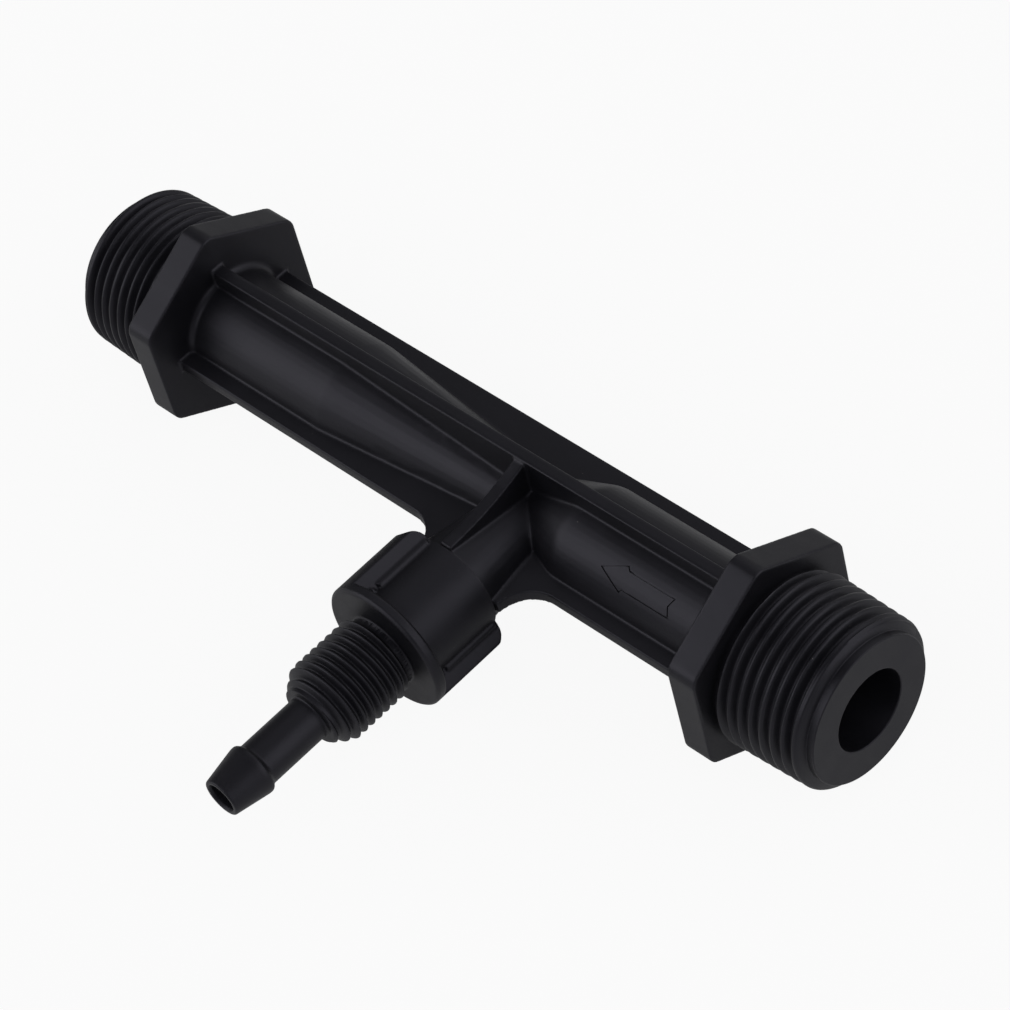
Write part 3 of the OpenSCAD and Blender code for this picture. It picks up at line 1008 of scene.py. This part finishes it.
@dataclass
class SuctionCap:
    """The winged cap with its round flange, suction thread and single-barb nipple."""

    rear: float = 16.65
    collar_r: float = 7.55
    cavity_r: float = 6.0
    flange_front: float = 30.9
    neck_front: float = 32.2
    neck_r: float = 5.6
    thread_r: float = 6.58
    taper_start: float = 42.4
    nipple_root: float = 45.1
    taper_r: float = 4.65
    stem_r: float = 3.35
    barb_rear: float = 55.8
    barb_r: float = 3.95
    barb_land: float = 0.6
    tip_end: float = 62.0
    tip_r: float = 2.95
    tip_flare: float = 0.2
    bore_r: float = 2.15
    pitch: float = 1.4
    groove: float = 0.86
    crest_at: float = 37.925
    root: float = 0.9
    sunk: float = 0.05
    end_rise: float = 0.1
    land_past: float = 1.0
    stub: float = 0.35
    hidden_wall: float = 1.2
    bore_step: float = 0.3
    columns: int = 192
    rows: int = 12
    sleeve_rear: float = 1.5
    sleeve_front: float = 2.0
    sleeve_columns: int = 112
    voxel: float = 0.14
    passes: int = 6
    kept: int = 90000
    far: float = 200.0

    def longer_collar(self) -> Moulding:
        """Turns a sleeve that carries the collar past its rear edge, so that rounding leaves the edge sharp.

        Returns:
            The closed mesh.
        """
        rear, front = self.rear - self.sleeve_rear, self.rear + self.sleeve_front
        corners = [Corner(rear, self.collar_r), Corner(front, self.collar_r), Corner(front, self.cavity_r),
                   Corner(rear, self.cavity_r)]
        return Moulding.turned("longer_collar", BRANCH_AXIS, corners, self.sleeve_columns)

    def nipple(self) -> Moulding:
        """Turns the suction thread and the nipple.

        Returns:
            The closed mesh, which reaches into the round flange.
        """
        inside = self.flange_front - self.root
        line = ((inside, self.thread_r), (self.taper_start, self.thread_r),
                (self.nipple_root, self.taper_r + self.end_rise))
        thread = Thread(self.pitch, self.groove, self.crest_at, line, self.nipple_root + self.land_past)
        start = (self.thread_r - self.neck_r) / 2
        rise = self.barb_r - self.stem_r
        hidden_r = self.bore_r + self.hidden_wall
        corners = [
            Corner(inside, self.neck_r - self.sunk),
            Corner(self.neck_front, self.neck_r, 0.2, True),
            Corner(self.neck_front + start, self.thread_r, 0.15, True),
            Corner(self.taper_start, self.thread_r, 0.3, True),
            Corner(self.nipple_root, self.taper_r, 0.25),
            Corner(self.nipple_root, self.stem_r, 0.35),
            Corner(self.barb_rear - rise, self.stem_r, 0.3),
            Corner(self.barb_rear, self.barb_r, 0.25),
            Corner(self.barb_rear + self.barb_land, self.barb_r, 0.3),
            Corner(self.tip_end, self.tip_r, 0.35),
            Corner(self.tip_end, self.bore_r + self.tip_flare, 0.12),
            Corner(self.tip_end - 2 * self.tip_flare, self.bore_r, 0.15),
            Corner(self.flange_front, self.bore_r),
            Corner(self.flange_front - self.bore_step, hidden_r),
            Corner(inside, hidden_r),
        ]
        return Moulding.turned("nipple", BRANCH_AXIS, corners, self.columns, self.pitch / self.rows, thread)

    def build(self) -> bpy.types.Object:
        """Builds the cap.

        Returns:
            The finished piece.
        """
        cap = Moulding.from_node("suction_cap")
        span = self.far
        front = -self.flange_front - self.stub
        cap.combine(Moulding.box((-span, -span, -span), (span, front, span)), Cut.TAKE_AWAY)
        cap.combine(self.longer_collar(), Cut.JOIN)
        cap.soften(self.voxel, self.passes, self.kept)
        cap.combine(Moulding.box((-span, -self.rear, -span), (span, span, span)), Cut.TAKE_AWAY)
        cap.combine(self.nipple(), Cut.JOIN)
        piece = cap.settle("winged_cap", *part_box("suction_cap"))
        LOG.info("suction cap: %d triangles", cap.triangles())
        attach(piece, "suction_cap")
        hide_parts("suction_cap")
        return piece

    def dress(self, piece: bpy.types.Object) -> None:
        """Gives the cap its finish."""
        finish = SatinMoulding("cap_plastic_satin", (0.003, 0.003, 0.0039, 1), (0.0051, 0.005, 0.0064, 1),
                               (0.025, 0.0245, 0.028, 1), FlowAxis.ALONG_BRANCH, roughness=0.45)
        piece.data.materials.clear()
        piece.data.materials.append(finish.material())


@dataclass
class CheckValve:
    """The spring, ball and seal inside the cap."""

    floor: float = 8.4
    top: float = 24.82
    coil_r: float = 2.45
    wire_r: float = 0.25
    turns: int = 7
    closed: float = 0.9
    close_share: float = 1.06
    sides: int = 12
    steps: int = 36
    ease: int = 6
    lift_keep: float = 0.848

    def height(self, turn: float) -> float:
        """Gives the wire's height at a turn: close coils at both ends, open ones between."""
        close = 2 * self.wire_r * self.close_share
        low, high = self.floor + self.wire_r, self.top - self.wire_r
        gentle = self.closed * close
        if turn <= self.closed:
            return low + turn * close
        if turn >= self.turns - self.closed:
            return high - (self.turns - turn) * close
        share = (turn - self.closed) / (self.turns - 2 * self.closed)
        return low + gentle + share * (high - low - 2 * gentle)

    def spring(self) -> bpy.types.Object:
        """Winds the spring.

        Returns:
            The finished piece.
        """
        count = self.turns * self.steps
        spots = np.arange(count + 1) / self.steps
        angles = spots * TURN
        heights = np.array([self.height(float(turn)) for turn in spots])
        kernel = np.hanning(2 * self.ease + 1)
        heights = np.convolve(np.pad(heights, self.ease, mode="edge"), kernel / kernel.sum(), mode="valid")
        points = []
        for angle, height in zip(angles, heights):
            for k in range(self.sides):
                a = TURN * k / self.sides
                radius = self.coil_r + self.wire_r * math.cos(a)
                level = min(max(height + self.wire_r * math.sin(a), self.floor), self.top)
                points.append(BRANCH_AXIS.place(np.array([level]), np.array([radius]), np.array([angle]))[0])
        faces = ring_faces(count + 1, self.sides, closed=False)
        faces.append(tuple(range(self.sides)))
        faces.append(tuple(reversed(range(count * self.sides, (count + 1) * self.sides))))
        coil = Moulding("spring", np.array(points), faces)
        piece = coil.settle("valve_spring", *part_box("check_spring"))
        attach(piece, "injector_body")
        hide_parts("check_spring")
        piece.data.materials.append(DrawnWire().material())
        LOG.info("valve spring: %d triangles", coil.triangles())
        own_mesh(piece)
        return piece

    def dress(self) -> None:
        """Gives the ball and the seal, which keep their solids, their finishes."""
        for node, finish in (("check_ball", PolishedBall()), ("cap_seal", DullRubber())):
            solid = frame["nodes"][node]
            made = finish.material()
            if not solid.material_slots:
                solid.data.materials.append(made)
            for place in solid.material_slots:
                place.material = made
            LOG.info("%s: keeps its solid, with a new finish", node)


@dataclass(frozen=True)
class SoftLamp:
    """A broad soft lamp: its place by azimuth and elevation, its strength, its width and whether gloss shows it."""

    name: str
    azimuth: float
    elevation: float
    strength: float
    spread: float = 45.0
    in_gloss: bool = True


@dataclass
class Studio:
    """A white table, soft lamps on all sides of it, a grey sky and the camera."""

    table_z: float = -0.0172
    table_side: float = 8.0
    table_colour: Colour = (0.56, 0.56, 0.56, 1)
    backdrop_share: float = 0.92
    mirrored_share: float = 0.06
    sky: Colour = (0.14, 0.14, 0.146, 1)
    lamps: tuple[SoftLamp, ...] = (
        SoftLamp("left_lamp", -46, 28, 0.9, 52),
        SoftLamp("front_lamp", 0, 35, 0.43),
        SoftLamp("right_lamp", 119, 22, 1.0, 60),
        SoftLamp("back_lamp", 186, 44, 0.48, 70),
        SoftLamp("near_lamp", 50, 45, 1.4, 60, in_gloss=False),
    )
    camera_at: Point = (0.23866, -0.2049, 0.40075)
    camera_turn: Point = (41.166, 10.847, 44.175)
    lens: float = 138.71
    sensor: float = 36.0
    nearest: float = 0.01

    def table(self) -> None:
        """Lays the table, which isn't part of the object."""
        half = self.table_side / 2
        mesh = bpy.data.meshes.new("table")
        mesh.from_pydata([(-half, -half, self.table_z), (half, -half, self.table_z), (half, half, self.table_z),
                          (-half, half, self.table_z)], [], [(0, 1, 2, 3)])
        top = bpy.data.objects.new("table", mesh)
        bpy.context.scene.collection.objects.link(top)
        mesh.materials.append(self.table_finish())

    def table_finish(self) -> bpy.types.Material:
        """Builds the table's white, which shows as a white backdrop and still takes a soft shadow.

        Returns:
            The material.
        """
        graph = ShaderGraph("table_white")
        seen, glossy, through = (graph.node("ShaderNodeLightPath", {}, {}, f"Is {ray} Ray")
                                 for ray in ("Camera", "Glossy", "Transmission"))
        share = seen * self.backdrop_share + (glossy + through) * self.mirrored_share
        paper = graph.node("ShaderNodeBsdfDiffuse", {}, {"Color": self.table_colour})
        white = graph.node("ShaderNodeEmission", {}, {"Color": (1, 1, 1, 1), "Strength": 1.0})
        return graph.cover(graph.node("ShaderNodeMixShader", {}, {0: share, 1: paper, 2: white}))

    def hang(self, lamp: SoftLamp) -> None:
        """Hangs a soft lamp far away."""
        light = bpy.data.lights.new(lamp.name, "SUN")
        light.energy = lamp.strength
        light.angle = math.radians(lamp.spread)
        holder = bpy.data.objects.new(lamp.name, light)
        round_by, up_by = math.radians(lamp.azimuth), math.radians(lamp.elevation)
        level = math.cos(up_by)
        toward = Vector((math.sin(round_by) * level, -math.cos(round_by) * level, math.sin(up_by)))
        holder.rotation_euler = toward.to_track_quat("Z", "Y").to_euler()
        holder.visible_glossy = lamp.in_gloss
        bpy.context.scene.collection.objects.link(holder)

    def build(self) -> None:
        """Sets up the table, the lights, the world and the camera."""
        scene = bpy.context.scene
        self.table()
        for lamp in self.lamps:
            self.hang(lamp)
        world = bpy.data.worlds.new("studio")
        world.use_nodes = True
        background = world.node_tree.nodes["Background"]
        background.inputs["Color"].default_value = self.sky
        background.inputs["Strength"].default_value = 1.0
        scene.world = world
        scene.view_settings.view_transform = "Standard"
        data = bpy.data.cameras.new("camera")
        data.lens = self.lens
        data.sensor_width = self.sensor
        data.clip_start = self.nearest
        camera = bpy.data.objects.new("camera", data)
        camera.location = self.camera_at
        camera.rotation_euler = [math.radians(a) for a in self.camera_turn]
        scene.collection.objects.link(camera)
        scene.camera = camera


def main() -> None:
    """Builds and dresses each part of the injector, then the studio."""
    logging.basicConfig(level=logging.INFO, format="%(message)s")
    body = VenturiBody()
    body.dress(body.build())
    cap = SuctionCap()
    cap.dress(cap.build())
    valve = CheckValve()
    valve.spring()
    valve.dress()
    Studio().build()


if __name__ == "__main__":
    main()
